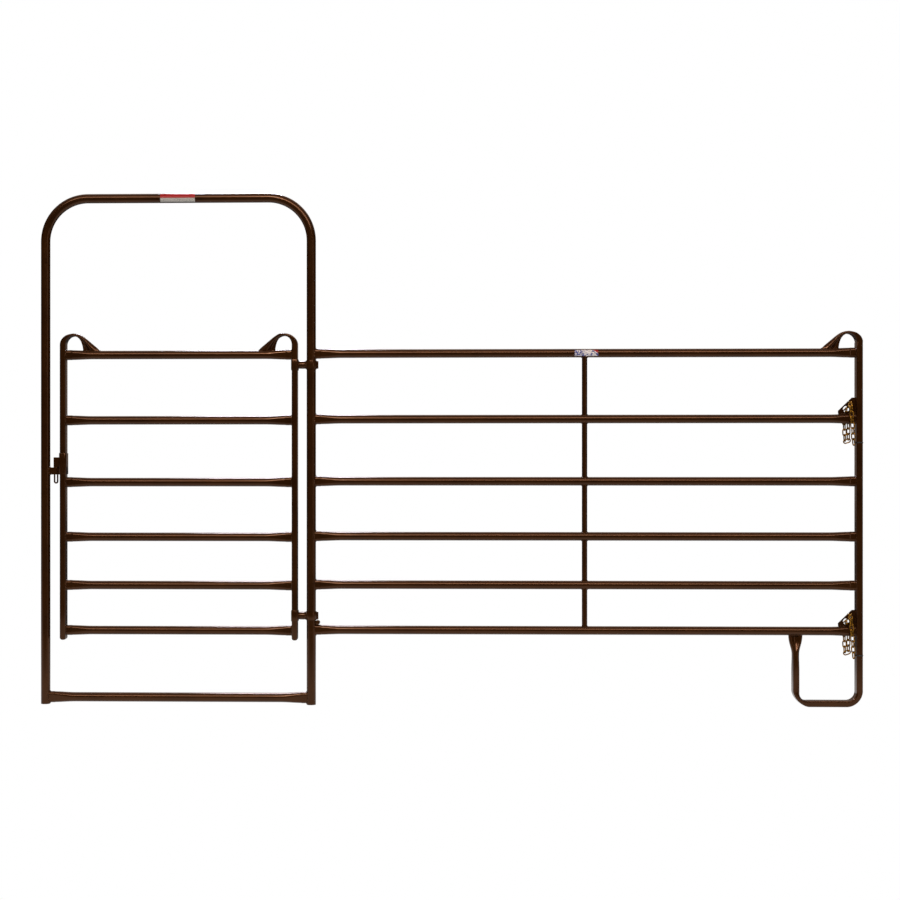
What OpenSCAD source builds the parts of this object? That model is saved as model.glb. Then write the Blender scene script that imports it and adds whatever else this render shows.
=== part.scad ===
// Livestock panel section with a walk-through gate under a bow.
// Millimetres, +Z up, +X along the panel, front face towards -Y.
// The origin is on the ground, under the middle of the section.

/* [Overall] */
// Length of the whole section, from the bow leg to the ties on the end upright
overall_l = 3658; // [3000:1:4400]
// Width of the bow, outside to outside
bow_w = 1236; // [1000:1:1500]
// Height of the bow above the ground
bow_h = 2286; // [1950:1:2750]

/* [Tubes] */
// Outside diameter of the bow and threshold tube
bow_od = 41.3; // [34:0.1:51]
// Centre-line radius of the two bends of the bow
bow_bend_r = 192; // [120:1:260]
// Outside diameter of the rail and stile tube before it is flattened
rail_od = 38.1; // [31:0.1:46]
// Thickness of that tube where it is pressed flat-sided
flat_t = 26; // [20:0.5:30]
// Wall thickness of every tube
wall = 1.65; // [1.2:0.05:2.6]
// Length of the flattened stretch at each end of a rail
squash_l = 120; // [60:1:160]
// Outside diameter of the short stays between the rails
stay_od = 24; // [16:0.5:30]

/* [Rails] */
// Height of the lowest panel rail above the ground
low_rail_z = 334.5; // [260:0.5:420]
// Spaces between rail centres, from the bottom up
rail_gaps = [202, 216.5, 245, 277, 293];
// How much lower the gate's rails sit than the panel's
gate_drop = 4; // [0:0.5:20]
// Height of the threshold tube's centre above the ground
threshold_z = 31; // [28:0.5:60]

/* [Gate] */
// Gap between the gate and the bow leg that it hangs on
hinge_gap = 39.5; // [34:0.5:60]
// Gap between the gate and the bow leg that it latches to
latch_gap = 47.5; // [44:0.5:60]
// Length of each stile below the lowest gate rail's centre
stile_foot = 43; // [30:1:70]

/* [Top loops] */
// Height of a loop's crown above the round part of the top rail
loop_h = 76; // [60:1:100]
// Clear width inside a loop
loop_in_w = 73; // [50:1:90]
// Thickness of the flattened tube at a loop's crown
loop_t = 14.5; // [8:0.5:20]
// Thickness of a loop's tail, front to back
tail_t = 14; // [8:0.5:20]
// Length of a loop's foot along the rail
tail_l = 78; // [50:1:110]

/* [Hinges] */
// Height of a hinge ring
hinge_h = 40; // [25:1:60]
// Thickness of the ring and of the sleeve on the stile
strap_t = 3; // [2:0.5:5]
// Running gap between a ring and the bow leg
hinge_play = 0.3; // [0.2:0.05:0.6]
// Outside diameter of a hinge arm
hinge_arm_od = 33; // [24:1:36]
// Distance of the upper hinge below the top gate rail
hinge_below_top = 46; // [44:1:90]
// Distance of the lower hinge above the lowest gate rail
hinge_above_low = 67; // [60:1:100]
// Reach of a ring's tab past the ring
hinge_tab = 8; // [4:1:14]
// Diameter of the round lug that carries the lower ring
lug_d = 20; // [14:1:24]

/* [Latch] */
// Height of the sliding sleeve
sleeve_h = 94; // [70:1:110]
// Height of the sleeve's foot above the fourth gate rail's centre
sleeve_lift = 36; // [30:1:50]
// Gap between the sleeve and the stile
sleeve_play = 0.5; // [0.3:0.1:1]
// Thickness of the tongue's blade
blade_t = 8; // [5:0.5:10]
// Height of the keeper
keeper_h = 32; // [24:1:40]
// Thickness of the keeper's walls
keeper_t = 5; // [3:0.5:8]
// Gap between the blade and each keeper wall
blade_gap = 2; // [1:0.5:4]
// Diameter of the rod that the eye is bent from
eye_rod = 5.5; // [4:0.5:8]
// Clear width of the eye
eye_in_w = 10; // [8:1:14]
// Length of the eye below the blade
eye_l = 41; // [36:1:44]

/* [Skid foot] */
// Width of the foot between the centres of its limbs
foot_w = 278.5; // [220:0.5:340]
// Centre-line radius of the foot's bends
foot_bend_r = 54; // [40:1:80]
// Width of the pressed top of the inner limb
flare_w = 58; // [46:1:59]

/* [Corner plates] */
// Length of a corner plate along the rail
plate_l = 77.5; // [70:0.5:100]
// Height of a corner plate above the rail
plate_h = 71.5; // [66:0.5:90]
// Thickness of a corner plate
plate_t = 6; // [4:0.5:8]
// Diameter of the chain hole
chain_hole_d = 28; // [26:0.5:30]
// Width of the chain slot
chain_slot_w = 9; // [7:0.5:12]

/* [Chain] */
// Diameter of the link wire
wire_d = 5.5; // [4:0.1:6]
// Length inside a link
link_in_l = 25; // [24:0.5:28]
// Width inside a link
link_in_w = 10.5; // [10:0.5:12]
// Height of the tie that holds each chain to the end upright
tie_h = 4; // [3:0.5:8]
// Thickness of a tie
tie_t = 1.2; // [1:0.1:2]
// Distance of a tie below the centre of its rail
tie_drop = 106; // [90:1:120]

/* [Hidden] */
$fn = 48;
hull_fn = 24;
// The pressed stretch ends this much smaller than the round stretch that it runs into
blend_step = 0.3;
coat = "#3a2010";
eps = 0.01;
tie_gap = 0.1;

// Places along the section
left_leg_x = -overall_l / 2 + bow_od / 2;
right_leg_x = left_leg_x + bow_w - bow_od;
upright_x = overall_l / 2 - flat_t / 2 - tie_gap - tie_t;
latch_stile_x = left_leg_x + bow_od / 2 + latch_gap + flat_t / 2;
hinge_stile_x = right_leg_x - bow_od / 2 - hinge_gap - flat_t / 2;
stay_x = (right_leg_x + bow_od / 2 + upright_x - flat_t / 2) / 2;
inner_limb_x = upright_x - foot_w;

// A round tube keeps its girth when it is pressed flat-sided
function flat_w(od) = flat_t + PI * (od - flat_t) / 2;

// Heights
function gap_sum(n) = n == 0 ? 0 : gap_sum(n - 1) + rail_gaps[n - 1];
function panel_z(i) = low_rail_z + gap_sum(i - 1);
function gate_z(i) = panel_z(i) - gate_drop;
RAILS = 6;
lip_l = squash_l / 5;
foot_top_z = low_rail_z - flat_w(rail_od) / 2 - 12;
// A hinge sleeve keeps clear of the top rail's pressed end, and the lug of the panel's lowest rail
sleeve_h_hinge = hinge_h + 6;
hinge_upper_z = gate_z(RAILS)
    - max(hinge_below_top, flat_w(rail_od) / 2 + sleeve_h_hinge / 2 + 0.4);
hinge_lower_z = max(gate_z(1) + hinge_above_low,
    low_rail_z + flat_w(rail_od) / 2 + lug_d + hinge_play + hinge_h / 2 + 0.2);

// Flat-sided oval, thin along X
module oval(t, w) {
    square([t, w - t], center = true);
    for (side = [-1, 1])
        translate([0, side * (w - t) / 2])
            circle(d = t);
}

// The pressed section of a tube of diameter od, grown or shrunk by g all round
module pressed(od, g = 0) {
    oval(flat_t + 2 * g, flat_w(od) + 2 * g);
}

// Children in the XY plane are extruded along +X, with their X along +Y
module along_x(x, len) {
    translate([x, 0, 0])
        rotate([90, 0, 90])
            linear_extrude(len)
                children();
}

// ---- Rails: round in the middle, pressed thin at both ends ----

module rail_solid(x0, x1, od, g, over) {
    along_x(x0 + squash_l - 1, x1 - x0 - 2 * squash_l + 2)
        circle(d = od + 2 * g);
    for (side = [0, 1])
        translate([side ? x1 : x0, 0, 0])
            mirror([side, 0, 0])
                hull() {
                    along_x(-over, lip_l + over)
                        pressed(od, g, $fn = hull_fn);
                    along_x(squash_l - eps, eps)
                        circle(d = od + 2 * g - blend_step, $fn = hull_fn);
                }
}

module rail(x0, x1, z, od) {
    color(coat)
        translate([0, 0, z])
            difference() {
                rail_solid(x0, x1, od, 0, 0);
                rail_solid(x0, x1, od, -wall, 1);
                bow_legs_cut(z);
            }
}

// Saddle cuts where a rail meets a leg of the bow
module bow_legs_cut(z) {
    for (x = [left_leg_x, right_leg_x])
        translate([x, 0, -100])
            cylinder(h = 200, d = bow_od);
}

// How far a pressed end reaches past the leg's side before its saddle cut
saddle = bow_od / 2 - sqrt(pow(bow_od / 2, 2) - pow(flat_t / 2, 2)) + 1;

module panel_rail(i) {
    rail(right_leg_x + bow_od / 2 - saddle, upright_x - flat_t / 2, panel_z(i), rail_od);
}

module threshold_rail() {
    rail(left_leg_x + bow_od / 2 - saddle, right_leg_x - bow_od / 2 + saddle,
         threshold_z, bow_od);
}

module gate_rail(i) {
    rail(latch_stile_x + flat_t / 2, hinge_stile_x - flat_t / 2, gate_z(i), rail_od);
}

// ---- Bow ----

module bow_solid(d, over) {
    leg_h = bow_h - bow_od / 2 - bow_bend_r;
    for (side = [0, 1])
        translate([side ? right_leg_x : left_leg_x, 0, 0])
            mirror([side, 0, 0]) {
                translate([0, 0, -over])
                    cylinder(h = leg_h + over, d = d);
                translate([bow_bend_r, 0, leg_h])
                    rotate([90, 0, 0])
                        rotate([0, 0, 90])
                            rotate_extrude(angle = 90)
                                translate([bow_bend_r, 0])
                                    circle(d = d);
            }
    translate([left_leg_x + bow_bend_r, 0, leg_h + bow_bend_r])
        rotate([0, 90, 0])
            cylinder(h = right_leg_x - left_leg_x - 2 * bow_bend_r, d = d);
}

module bow_tube() {
    color(coat)
        difference() {
            bow_solid(bow_od, 0);
            bow_solid(bow_od - 2 * wall, 1);
        }
}

// ---- Stays ----

module centre_stay(i) {
    color(coat)
        difference() {
            translate([stay_x, 0, panel_z(i)])
                cylinder(h = rail_gaps[i - 1], d = stay_od);
            translate([stay_x, 0, panel_z(i) - 1])
                cylinder(h = rail_gaps[i - 1] + 2, d = stay_od - 2 * wall);
            for (k = [i, i + 1])
                translate([0, 0, panel_z(k)])
                    along_x(stay_x - stay_od, 2 * stay_od)
                        circle(d = rail_od);
        }
}

// ---- Stiles and end upright: pressed tube, bent over at the top into a loop ----

loop_r = loop_in_w / 2;
loop_mid = flat_t / 2 + loop_r;
// The tail rests where the rail's pressed end has almost run out to round
tail_seat = 0.1 + (flat_w(rail_od) - rail_od) / 2
    * max(0, 1 - (loop_in_w - lip_l) / (squash_l - lip_l));

// Point of an arc about the loop's centre
function loop_point(rx, rz, a, zc) = [loop_mid - rx * cos(a), zc + rz * sin(a)];

module top_loop(rail_z) {
    crown = rail_z + rail_od / 2 + loop_h;
    zc = crown - loop_r - loop_t;
    base = rail_z + flat_w(rail_od) / 2;
    seat = rail_z + rail_od / 2 + tail_seat;
    arch = concat(
        [[-flat_t / 2, base]],
        [for (a = [0:7.5:120]) loop_point(loop_r + flat_t, loop_r + loop_t, a, zc)],
        [for (a = [120:-7.5:0]) loop_point(loop_r, loop_r, a, zc)],
        [[flat_t / 2, base]]);
    tail = concat(
        [for (a = [105:7.5:180]) loop_point(loop_r, loop_r, a, zc)],
        [[loop_mid + loop_r, seat], [loop_mid + loop_r + tail_l, seat]],
        [for (a = [120:-7.5:105]) loop_point(loop_r + loop_t, loop_r + loop_t, a, zc)]);
    rotate([90, 0, 0]) {
        linear_extrude(flat_w(rail_od), center = true)
            polygon(arch);
        linear_extrude(tail_t, center = true)
            polygon(tail);
    }
}

module looped_post(x, side, z0, rail_z, floor_t) {
    top = rail_z + flat_w(rail_od) / 2;
    color(coat)
        translate([x, 0, 0])
            mirror([side, 0, 0]) {
                difference() {
                    translate([0, 0, z0])
                        linear_extrude(top - z0)
                            pressed(rail_od);
                    translate([0, 0, floor_t > 0 ? z0 + floor_t : z0 - 1])
                        linear_extrude(top - z0 - floor_t - wall + (floor_t > 0 ? 0 : 1))
                            pressed(rail_od, -wall);
                }
                top_loop(rail_z);
            }
}

module gate_stile_latch() {
    looped_post(latch_stile_x, 0, gate_z(1) - stile_foot, gate_z(RAILS), 2 * wall);
}

module gate_stile_hinge() {
    looped_post(hinge_stile_x, 1, gate_z(1) - stile_foot, gate_z(RAILS), 2 * wall);
}

module end_upright() {
    looped_post(upright_x, 1, foot_top_z, panel_z(RAILS), 0);
}

// ---- Skid foot: the pressed tube carried on down, round and up to the lowest rail ----

flare_l = 60;
flare_t = 14;
flare_z = low_rail_z - rail_od / 2 - flare_l;

module foot_bend(g) {
    rotate([90, 0, 0])
        rotate([0, 0, 270])
            rotate_extrude(angle = 90)
                translate([foot_bend_r, 0])
                    pressed(rail_od, g);
}

module foot_path(g, over) {
    bend_z = foot_bend_r + flat_t / 2;
    for (limb = [[upright_x, 0, foot_top_z], [inner_limb_x, 1, flare_z]])
        translate([limb[0], 0, 0])
            mirror([limb[1], 0, 0]) {
                translate([0, 0, bend_z])
                    linear_extrude(limb[2] - bend_z + over * (1 - limb[1]))
                        pressed(rail_od, g);
                translate([-foot_bend_r, 0, bend_z])
                    foot_bend(g);
            }
    translate([0, 0, flat_t / 2])
        rotate([0, 90, 0])
            translate([0, 0, inner_limb_x + foot_bend_r])
                linear_extrude(foot_w - 2 * foot_bend_r)
                    pressed(rail_od, g);
}

module skid_foot() {
    color(coat) {
        difference() {
            foot_path(0, 0);
            foot_path(-wall, 1);
        }
        difference() {
            translate([inner_limb_x, 0, flare_z - 1])
                hull() {
                    linear_extrude(eps)
                        pressed(rail_od, -blend_step / 2, $fn = hull_fn);
                    translate([-flare_w / 2, -flare_t / 2, flare_l - 11])
                        cube([flare_w, flare_t, 12 + rail_od / 2]);
                }
            translate([0, 0, low_rail_z])
                along_x(inner_limb_x - flare_w, 2 * flare_w)
                    circle(d = rail_od);
        }
    }
}

// ---- Corner plates with a chain hole and a chain slot ----

plate_face_x = upright_x - flat_t / 2;
plate_lip = 13;
plate_top_l = 17;
hole_x = plate_face_x - plate_l + 35;
function plate_z(rail_z) = rail_z + flat_w(rail_od) / 2;
function hole_z(rail_z) = plate_z(rail_z) + chain_hole_d / 2 + 6;
// The slot's foot, where the chain hangs
slot_x = plate_face_x - 22.4;
slot_down = 29;
function slot_z(rail_z) = plate_z(rail_z) + plate_h - slot_down;

module corner_plate(rail_z) {
    z = plate_z(rail_z);
    color(coat)
        rotate([90, 0, 0])
            linear_extrude(plate_t, center = true)
                difference() {
                    polygon([
                        [plate_face_x, z], [plate_face_x, z + plate_h],
                        [plate_face_x - plate_top_l, z + plate_h],
                        [plate_face_x - plate_l, z + plate_lip], [plate_face_x - plate_l, z]]);
                    translate([hole_x, hole_z(rail_z)])
                        circle(d = chain_hole_d);
                    translate([slot_x, slot_z(rail_z)]) {
                        circle(d = chain_slot_w + 0.2);
                        rotate(135)
                            translate([0, -chain_slot_w / 2])
                                square([2 * plate_h, chain_slot_w]);
                    }
                }
}

// ---- Chain: one link reaches from joint to joint of a hand-set run of directions ----

link_slack = 0.35;
bend_slack = 0.75;
link_c = link_in_l + wire_d;
link_half_w = (link_in_w + wire_d) / 2;
// How far up the slot the middle of the link that hangs in it sits, along X and along Z
slot_seat = (link_half_w - (chain_slot_w - wire_d) / 2 + 0.3) / sqrt(2);

function unit(v) = v / norm(v);
// How far a link's end lies past the point where it crosses its neighbour, more at a bend
function cross_over(d, i) =
    i <= 0 || i >= len(d) ? wire_d / 2 + link_slack
    : (wire_d + 2 * link_slack) * (1 + bend_slack * (1 - unit(d[i - 1]) * unit(d[i])))
        / norm(unit(d[i - 1]) + unit(d[i]));
function link_reach(d, i) = link_c - cross_over(d, i) - cross_over(d, i + 1);
function joint_point(p, d, i) =
    i == 0 ? p : joint_point(p, d, i - 1) + unit(d[i - 1]) * link_reach(d, i - 1);
function across(v, d) = unit(v - (v * unit(d)) * unit(d));
// Normal of each link's plane: it stands square to the wire of the link before
function link_normal(d, n0, i) =
    i == 0 ? across(n0, d[0])
    : across(cross(link_normal(d, n0, i - 1), unit(d[i - 1])), d[i]);

module link() {
    straight = link_c - 2 * link_half_w;
    for (side = [0, 1])
        mirror([0, side, 0])
            translate([0, link_half_w, 0])
                rotate([0, 90, 0])
                    cylinder(h = straight, d = wire_d, center = true);
    for (side = [0, 1])
        mirror([side, 0, 0])
            translate([straight / 2, 0, 0])
                rotate([0, 0, -90])
                    rotate_extrude(angle = 180)
                        translate([link_half_w, 0])
                            circle(d = wire_d);
}

// A link centred on c, long way along u, its plane square to n
module link_at(c, u, n) {
    s = cross(n, u);
    multmatrix([
        [u[0], s[0], n[0], c[0]], [u[1], s[1], n[1], c[1]], [u[2], s[2], n[2], c[2]]])
        link();
}

module link_run(p, d, n0, first, last) {
    for (i = [first:last])
        link_at(joint_point(p, d, i) + unit(d[i]) * (link_c / 2 - cross_over(d, i)),
                unit(d[i]), link_normal(d, n0, i));
}

function times(n, v) = [for (i = [1:n]) v];

// Through the hole and down behind the rail
HOLE_RUN = concat([[0, 1, 0], [-0.2, 1, -1]], times(5, [0.04, 0, -1]));
// Through the slot and down behind the rail
SLOT_RUN = concat([[0, 1, 0], [0.1, 1, -1]], times(6, [0, 0, -1]));
// From the slot down in front of the rail
TAIL_RUN = concat([[0, -1, 0], [0, -1, -1]], times(7, [0.07, 0, -1]));

module chain(rail_z) {
    hole_start = [hole_x, -link_in_l / 2 + link_slack, hole_z(rail_z) - 2.5];
    slot_start = [slot_x - slot_seat, -link_in_l / 2 + link_slack, slot_z(rail_z) + slot_seat];
    a = joint_point(hole_start, HOLE_RUN, len(HOLE_RUN));
    b = joint_point(slot_start, SLOT_RUN, len(SLOT_RUN));
    color("#c9a13b") {
        link_run(hole_start, HOLE_RUN, [1, 0, 0], 0, len(HOLE_RUN) - 1);
        link_run(slot_start, SLOT_RUN, [1, 0, 1], 0, len(SLOT_RUN) - 1);
        // The link that joins both runs at the bottom
        along = unit([b[0] - a[0], 0, b[2] - a[2]]);
        link_at((a + b) / 2 - [-along[2], 0, along[0]] * (link_half_w - wire_d / 2 - link_slack),
                along, [0, -1, 0]);
    }
}

module chain_tail(rail_z) {
    start = [slot_x - slot_seat, link_in_l / 2 - link_slack, slot_z(rail_z) + slot_seat];
    color("#c9a13b")
        link_run(start, TAIL_RUN, [1, 0, 1], 1, len(TAIL_RUN) - 1);
}

// ---- Ties round the end upright, at the foot of each chain ----

module chain_tie(rail_z) {
    z = rail_z - tie_drop;
    color("#101010")
        translate([upright_x, 0, z]) {
            difference() {
                linear_extrude(tie_h, center = true)
                    pressed(rail_od, tie_gap + tie_t);
                linear_extrude(2 * tie_h, center = true)
                    pressed(rail_od, tie_gap);
            }
            translate([-flat_t / 2 - tie_gap - tie_t - 3.5, -6, -tie_h / 2 - 1])
                cube([4, 7, tie_h + 2]);
        }
}

// ---- Labels, plain ----

label_t = 0.3;
label_gap = 0.05;

module label_skin(x, len, z, od, arc) {
    translate([0, 0, z])
        intersection() {
            difference() {
                along_x(x - len / 2, len)
                    circle(d = od + 2 * (label_gap + label_t));
                along_x(x - len, 2 * len)
                    circle(d = od + 2 * label_gap);
            }
            translate([x - len, -od, -od / 2 * sin(arc)])
                cube([2 * len, od, od * sin(arc)]);
        }
}

module bow_label() {
    color("#c8372d")
        label_skin((left_leg_x + right_leg_x) / 2, 155, bow_h - bow_od / 2, bow_od, 60);
}

module rail_label() {
    color("#d8dde6")
        label_skin(stay_x + 7, 104, panel_z(RAILS), rail_od, 45);
}

// ---- Hinges: a ring round the bow leg on an arm from a sleeve on the stile ----

ring_r = bow_od / 2 + hinge_play;

module hinge_sleeve(z) {
    color(coat)
        translate([hinge_stile_x, 0, z - sleeve_h_hinge / 2])
            difference() {
                linear_extrude(sleeve_h_hinge)
                    pressed(rail_od, strap_t);
                translate([0, 0, -1])
                    linear_extrude(sleeve_h_hinge + 2)
                        pressed(rail_od);
            }
}

module hinge_arm(z) {
    x0 = hinge_stile_x + flat_t / 2 + strap_t;
    color(coat)
        difference() {
            translate([x0, 0, z])
                rotate([0, 90, 0])
                    cylinder(h = right_leg_x - x0, d = hinge_arm_od);
            translate([x0 - 1, 0, z])
                rotate([0, 90, 0])
                    cylinder(h = right_leg_x - x0, d = hinge_arm_od - 2 * strap_t);
            translate([right_leg_x, 0, z - hinge_h])
                cylinder(h = 2 * hinge_h, r = ring_r + strap_t);
        }
}

module hinge_ring(z) {
    color(coat)
        difference() {
            union() {
                translate([right_leg_x, 0, z - hinge_h / 2])
                    cylinder(h = hinge_h, r = ring_r + strap_t);
                translate([right_leg_x, -strap_t, z - hinge_h / 2 + 2])
                    cube([ring_r + strap_t + hinge_tab, 2 * strap_t, hinge_h - 4]);
            }
            translate([right_leg_x, 0, z - hinge_h])
                cylinder(h = 2 * hinge_h, r = ring_r);
        }
}

module hinge_lug() {
    len = 1.5 * lug_d;
    color(coat)
        difference() {
            translate([right_leg_x + bow_od / 2 + 0.4 * lug_d, 0,
                       hinge_lower_z - hinge_h / 2 - hinge_play - lug_d / 2])
                rotate([90, 0, 0])
                    cylinder(h = len, d = lug_d, center = true);
            translate([right_leg_x, 0, 0])
                cylinder(h = 2 * hinge_lower_z, d = bow_od);
        }
}

// ---- Latch: a sleeve slides on the stile, and its tongue drops into the keeper ----

sleeve_z = gate_z(4) + sleeve_lift;
sleeve_left_x = latch_stile_x - flat_t / 2 - sleeve_play - strap_t;
keeper_z = sleeve_z - 2;
shoulder_z = keeper_z + keeper_h + 0.3;
slot_half = blade_t / 2 + blade_gap;
tongue_l = 27;
tongue_h = 45;
tongue_left_x = sleeve_left_x - tongue_l;
eye_c_w = eye_in_w + eye_rod;
keeper_open_x = sleeve_left_x - 11;

module latch_sleeve() {
    color(coat)
        translate([latch_stile_x, 0, sleeve_z])
            difference() {
                linear_extrude(sleeve_h)
                    pressed(rail_od, sleeve_play + strap_t);
                translate([0, 0, -1])
                    linear_extrude(sleeve_h + 2)
                        pressed(rail_od, sleeve_play);
            }
}

module latch_tongue() {
    head_t = 2 * (slot_half + keeper_t) - 2;
    color(coat) {
        translate([tongue_left_x, -head_t / 2, shoulder_z])
            cube([tongue_l, head_t, tongue_h]);
        translate([tongue_left_x, -blade_t / 2, keeper_z])
            cube([tongue_l, blade_t, shoulder_z - keeper_z]);
    }
}

module latch_eye() {
    drop = eye_l - eye_c_w / 2 - eye_rod / 2;
    color(coat)
        translate([tongue_left_x + eye_c_w / 2 + eye_rod / 2 - 1, 0, keeper_z]) {
            for (side = [-1, 1])
                translate([side * eye_c_w / 2, 0, -drop])
                    cylinder(h = drop, d = eye_rod);
            translate([0, 0, -drop])
                rotate([90, 0, 0])
                    rotate([0, 0, 180])
                        rotate_extrude(angle = 180)
                            translate([eye_c_w / 2, 0])
                                circle(d = eye_rod);
        }
}

module latch_keeper() {
    leg_side = left_leg_x + bow_od / 2;
    color(coat)
        difference() {
            translate([left_leg_x + bow_od / 4, -slot_half - keeper_t, keeper_z])
                cube([keeper_open_x - left_leg_x - bow_od / 4, 2 * (slot_half + keeper_t), keeper_h]);
            translate([leg_side + keeper_t, -slot_half, keeper_z - 1])
                cube([keeper_open_x - leg_side, 2 * slot_half, keeper_h + 2]);
            translate([left_leg_x, 0, keeper_z - 1])
                cylinder(h = keeper_h + 2, d = bow_od);
        }
}

// ---- Nodes ----

bow_tube();
threshold_rail();
for (i = [1:RAILS])
    panel_rail(i);
for (i = [1:RAILS - 1])
    centre_stay(i);
end_upright();
skid_foot();
corner_plate(panel_z(5));  // corner_plate_upper
corner_plate(panel_z(1));  // corner_plate_lower
chain(panel_z(5));  // chain_upper
chain(panel_z(1));  // chain_lower
chain_tail(panel_z(5));  // chain_tail_upper
chain_tail(panel_z(1));  // chain_tail_lower
chain_tie(panel_z(5));  // chain_tie_upper
chain_tie(panel_z(1));  // chain_tie_lower
latch_keeper();
hinge_lug();
bow_label();
rail_label();
gate_stile_latch();
gate_stile_hinge();
for (i = [1:RAILS])
    gate_rail(i);
hinge_sleeve(hinge_upper_z);  // hinge_sleeve_upper
hinge_sleeve(hinge_lower_z);  // hinge_sleeve_lower
hinge_arm(hinge_upper_z);  // hinge_arm_upper
hinge_arm(hinge_lower_z);  // hinge_arm_lower
hinge_ring(hinge_upper_z);  // hinge_ring_upper
hinge_ring(hinge_lower_z);  // hinge_ring_lower
latch_sleeve();
latch_tongue();
latch_eye();
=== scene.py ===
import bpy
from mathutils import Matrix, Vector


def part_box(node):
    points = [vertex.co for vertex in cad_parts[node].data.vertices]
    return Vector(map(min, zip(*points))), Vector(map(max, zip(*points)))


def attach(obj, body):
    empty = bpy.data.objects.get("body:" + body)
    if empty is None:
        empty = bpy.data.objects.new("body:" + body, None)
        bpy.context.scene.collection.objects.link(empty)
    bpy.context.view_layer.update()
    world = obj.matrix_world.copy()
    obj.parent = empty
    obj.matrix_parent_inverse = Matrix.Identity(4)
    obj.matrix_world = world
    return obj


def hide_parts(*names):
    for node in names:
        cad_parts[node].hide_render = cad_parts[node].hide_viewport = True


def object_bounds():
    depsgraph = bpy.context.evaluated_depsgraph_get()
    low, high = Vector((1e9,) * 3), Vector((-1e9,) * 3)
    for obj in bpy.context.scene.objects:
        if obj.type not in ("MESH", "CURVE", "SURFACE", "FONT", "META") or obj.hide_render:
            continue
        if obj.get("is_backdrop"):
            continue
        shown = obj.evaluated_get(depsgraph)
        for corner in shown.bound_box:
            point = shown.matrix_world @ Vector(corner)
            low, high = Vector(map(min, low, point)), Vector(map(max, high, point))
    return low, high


bl_info = {
    "name": "Livestock Panel Gate",
    "version": (1, 0, 0),
    "blender": (4, 5, 0),
    "location": "View3D > Sidebar > Panel Gate",
    "description": "Dresses a livestock panel section with a walk-through gate: "
                   "pressed tubes, welds, hinges, latch and chains",
    "category": "Add Mesh",
}

from math import atan2, ceil, cos, exp, pi, radians, sin, sqrt

import bmesh
import bpy
from mathutils import Vector, noise

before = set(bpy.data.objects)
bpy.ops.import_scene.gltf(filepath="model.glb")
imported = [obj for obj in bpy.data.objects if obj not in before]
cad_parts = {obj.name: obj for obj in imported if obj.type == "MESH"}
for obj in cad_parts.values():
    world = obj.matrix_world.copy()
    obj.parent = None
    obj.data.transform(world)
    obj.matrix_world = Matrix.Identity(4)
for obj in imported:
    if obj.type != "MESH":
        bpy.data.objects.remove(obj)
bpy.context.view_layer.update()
RAILS = range(1, 7)
STAYS = range(1, 6)
# Points round a tube, and round a small bead's section
SIDES = 48
BEAD_SIDES = 10
MM = 0.001
X, Z = Vector((1, 0, 0)), Vector((0, 0, 1))


# ---- Places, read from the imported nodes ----

def low(node):
    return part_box(node)[0]


def high(node):
    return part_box(node)[1]


def middle(node):
    return (low(node) + high(node)) / 2


def girth_width(t, r):
    """Width of a tube of radius r that is pressed to thickness t without stretching."""
    return t + pi * (2 * r - t) / 2


BOW_R = high("threshold_rail").y
RAIL_R = high("gate_rail_1").y
FLAT = low("gate_rail_1").x - low("gate_stile_latch").x
LEFT_LEG = low("bow_tube").x + BOW_R
RIGHT_LEG = high("bow_tube").x - BOW_R
POST = high("end_upright").x - FLAT / 2
# Radius of the bow's two bends at the tube's middle, and how far its open ends are hollow
BOW_BEND = 0.192
BORE = 0.09
# Half length along Z of a rail's pressed end
RAIL_END = girth_width(FLAT, RAIL_R) / 2


# ---- Settings that a user would change ----

def linear(code):
    """An sRGB hex colour as linear red, green, blue and alpha."""
    parts = [int(code[i:i + 2], 16) / 255 for i in (0, 2, 4)]
    return tuple(c / 12.92 if c <= 0.04045 else ((c + 0.055) / 1.055) ** 2.4
                 for c in parts) + (1.0,)


def colour(name, description, code):
    return bpy.props.FloatVectorProperty(
        name=name, description=description, subtype="COLOR", size=4, min=0, max=1,
        default=linear(code))


def length(name, description, default, low_end, high_end):
    return bpy.props.FloatProperty(
        name=name, description=description, subtype="DISTANCE", unit="LENGTH",
        default=default, min=low_end, max=high_end, precision=4)


def power(name, description, default):
    return bpy.props.FloatProperty(
        name=name, description=description, subtype="POWER", default=default, min=0)


def factor(name, description, default, high_end):
    return bpy.props.FloatProperty(
        name=name, description=description, subtype="FACTOR", default=default, min=0, max=high_end)


class TubeSettings(bpy.types.PropertyGroup):
    wall: length("Wall", "Wall thickness that shows at a cut end", 1.65 * MM, 1 * MM, 3 * MM)
    squash: length("Pressed stretch", "Length over which a rail end goes from pressed to round",
                   0.12, 0.05, 0.2)
    jaw: length("Jaw mark", "Length that the press jaws held at each rail end", 0.024, 0.01, 0.05)
    corner: length("Post corner", "Radius of the corners of the pressed posts", 0.006, 0.003, 0.013)
    crown: length("Loop crown", "Thickness of a loop's tube at its crown", 0.0105, 0.005, 0.02)
    fold: length("Fold depth", "Depth of the fold in a pinched tube end", 0.007, 0.0, 0.012)


class WeldSettings(bpy.types.PropertyGroup):
    bead: length("Bead", "Radius of a weld bead", 2.6 * MM, 1 * MM, 5 * MM)
    pitch: length("Ripple", "Distance between the ripples of a weld bead", 3.5 * MM, 2 * MM, 8 * MM)


class CoatSettings(bpy.types.PropertyGroup):
    brown: colour("Coat", "Main colour of the powder coat", "341c08")
    shade: colour("Coat shade", "Colour of the powder coat where it built up thick", "281405")
    peel: length("Orange peel", "Width of one bump of the coat's surface", 4 * MM, 1 * MM, 10 * MM)


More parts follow.
